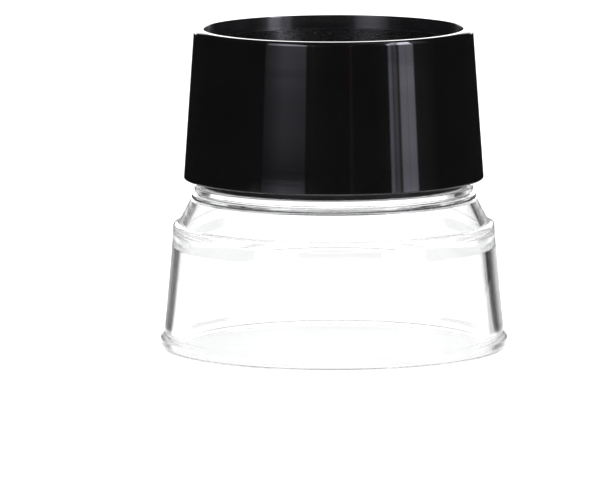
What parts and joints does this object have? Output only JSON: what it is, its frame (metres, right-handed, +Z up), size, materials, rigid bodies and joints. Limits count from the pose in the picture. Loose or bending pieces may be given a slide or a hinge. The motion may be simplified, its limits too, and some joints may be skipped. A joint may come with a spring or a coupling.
{
  "type": "stand magnifier",
  "caption": "Stand magnifier: a conical black head with a deep eye recess screws up and down on a clear flared stand to focus.",
  "frame": {"origin": "centre of the foot's underside, on the optical axis", "axes": "+Z up along the optical axis, +X to the right and -Y towards the viewer of the picture"},
  "size_m": [0.051, 0.051, 0.047],
  "materials": {
    "clear_acrylic": "clear moulded acrylic, polished",
    "drag_rubber": "soft black rubber",
    "satin_black": "moulded black ABS, satin",
    "gloss_black": "moulded black ABS, mirror polished",
    "lens_acrylic": "optical acrylic, polished",
    "cushion_rubber": "black rubber",
    "grooved_black": "black ABS with fine turned grooves"
  },
  "bodies": {
    "stand": {"base_skirt": "clear_acrylic"},
    "drag_ring": {"focus_drag_ring": "drag_rubber"},
    "head": {"lens_barrel": "satin_black", "head_shell": "gloss_black", "field_lens": "lens_acrylic", "lens_spacer": "satin_black", "eye_lens": "lens_acrylic", "lens_cushion_ring": "cushion_rubber", "lens_retaining_ring": "grooved_black"}
  },
  "joints": [
    {"name": "focus_rise", "type": "slide", "parent": "stand", "child": "drag_ring", "axis": [0, 0, 1], "range_m": [0, 0.003]},
    {"name": "focus_turn", "type": "hinge", "parent": "drag_ring", "child": "head", "pos_m": [0, 0, 0.02505], "axis": [0, 0, 1], "range_deg": [0, 180]}
  ],
  "couplings": [
    {"joint": "focus_rise", "follows": "focus_turn", "m_per_rad": 0.00095493}
  ]
}
